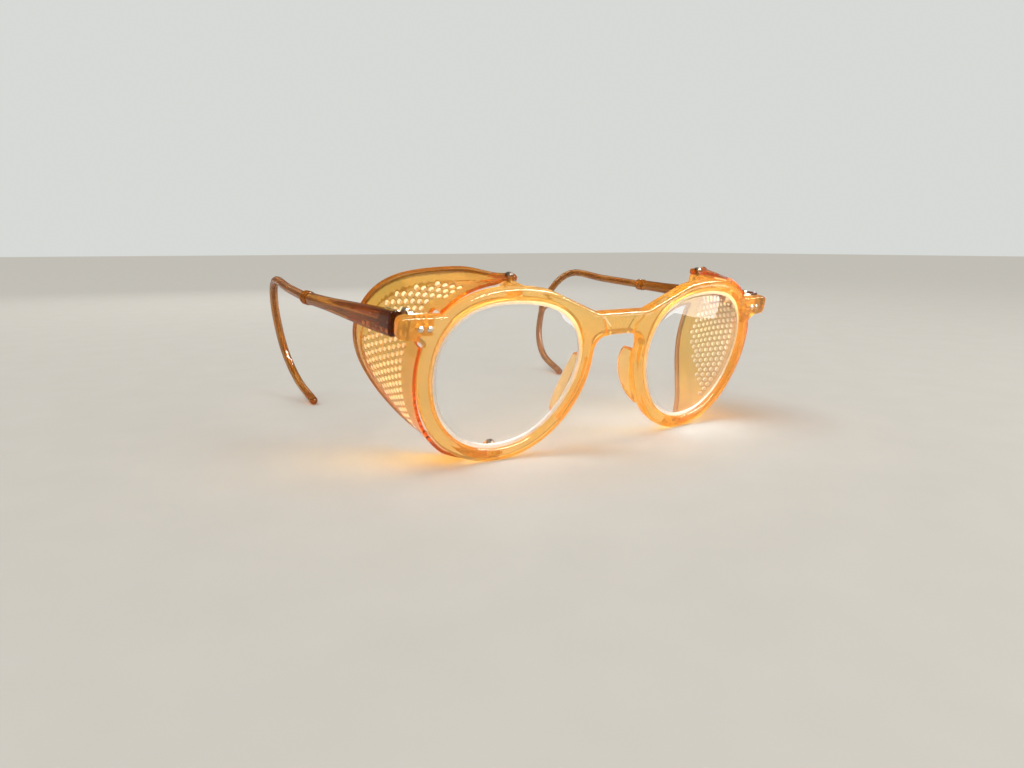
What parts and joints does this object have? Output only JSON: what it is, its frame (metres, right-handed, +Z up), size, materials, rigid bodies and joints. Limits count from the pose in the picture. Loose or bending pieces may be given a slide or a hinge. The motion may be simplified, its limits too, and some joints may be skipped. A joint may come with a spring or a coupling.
{
  "type": "glacier glasses",
  "caption": "Round-lens protective spectacles with perforated side shields, folding temples and curled cable ear hooks, standing as put down on a table.",
  "frame": {"origin": "centre of the footprint, on the table that the rims and the hook tips rest on", "axes": "+Z up, +X towards the wearer's left along the front, +Y backwards along the temples, so the lenses face -Y"},
  "size_m": [0.1368, 0.1268, 0.0511],
  "materials": {
    "honey_acetate": "polished translucent honey-amber acetate",
    "shield_sheet": "thin translucent amber sheet, satin with aged edges",
    "brown_acetate": "polished translucent red-brown acetate",
    "brown_sleeve": "glossy translucent brown tube",
    "clear_lens": "clear polished glass with a ground edge",
    "nickel_silver": "aged nickel silver",
    "dark_steel": "tarnished steel",
    "steel_cable": "wound steel cable"
  },
  "bodies": {
    "front": {"front_frame": "honey_acetate", "lens_left": "clear_lens", "nose_pad_left": "honey_acetate", "front_rivet_inner_left": "nickel_silver", "front_rivet_outer_left": "nickel_silver", "hinge_front_leaf_left": "nickel_silver", "hinge_screw_left": "nickel_silver", "lens_right": "clear_lens", "nose_pad_right": "honey_acetate", "front_rivet_inner_right": "nickel_silver", "front_rivet_outer_right": "nickel_silver", "hinge_front_leaf_right": "nickel_silver", "hinge_screw_right": "nickel_silver"},
    "temple_left": {"hinge_temple_leaf_left": "nickel_silver", "temple_arm_left": "brown_acetate", "temple_core_wire_left": "nickel_silver", "temple_collar_left": "brown_acetate", "ear_hook_sleeve_left": "brown_sleeve", "ear_hook_cable_left": "steel_cable"},
    "shield_left": {"side_shield_left": "shield_sheet", "shield_top_pin_left": "dark_steel", "shield_bottom_pin_left": "dark_steel"},
    "temple_right": {"hinge_temple_leaf_right": "nickel_silver", "temple_arm_right": "brown_acetate", "temple_core_wire_right": "nickel_silver", "temple_collar_right": "brown_acetate", "ear_hook_sleeve_right": "brown_sleeve", "ear_hook_cable_right": "steel_cable"},
    "shield_right": {"side_shield_right": "shield_sheet", "shield_top_pin_right": "dark_steel", "shield_bottom_pin_right": "dark_steel"}
  },
  "joints": [
    {"name": "temple_fold_left", "type": "hinge", "parent": "front", "child": "temple_left", "pos_m": [0.0596, -0.05254, 0.03873], "axis": [0, -0.225, 0.9744], "range_deg": [0, 75], "deforming": ["side_shield_left"]},
    {"name": "temple_fold_right", "type": "hinge", "parent": "front", "child": "temple_right", "pos_m": [-0.0596, -0.05254, 0.03873], "axis": [0, 0.225, -0.9744], "range_deg": [0, 82], "deforming": ["side_shield_right"]},
    {"name": "shield_swing_left", "type": "hinge", "parent": "front", "child": "shield_left", "pos_m": [0.0333, -0.05179, 0.02525], "axis": [0, -0.225, 0.9744], "range_deg": [0, 52.5]},
    {"name": "shield_swing_right", "type": "hinge", "parent": "front", "child": "shield_right", "pos_m": [-0.0333, -0.05179, 0.02525], "axis": [0, 0.225, -0.9744], "range_deg": [0, 57.4]}
  ],
  "couplings": [
    {"joint": "shield_swing_left", "follows": "temple_fold_left", "ratio": 0.7},
    {"joint": "shield_swing_right", "follows": "temple_fold_right", "ratio": 0.7}
  ]
}
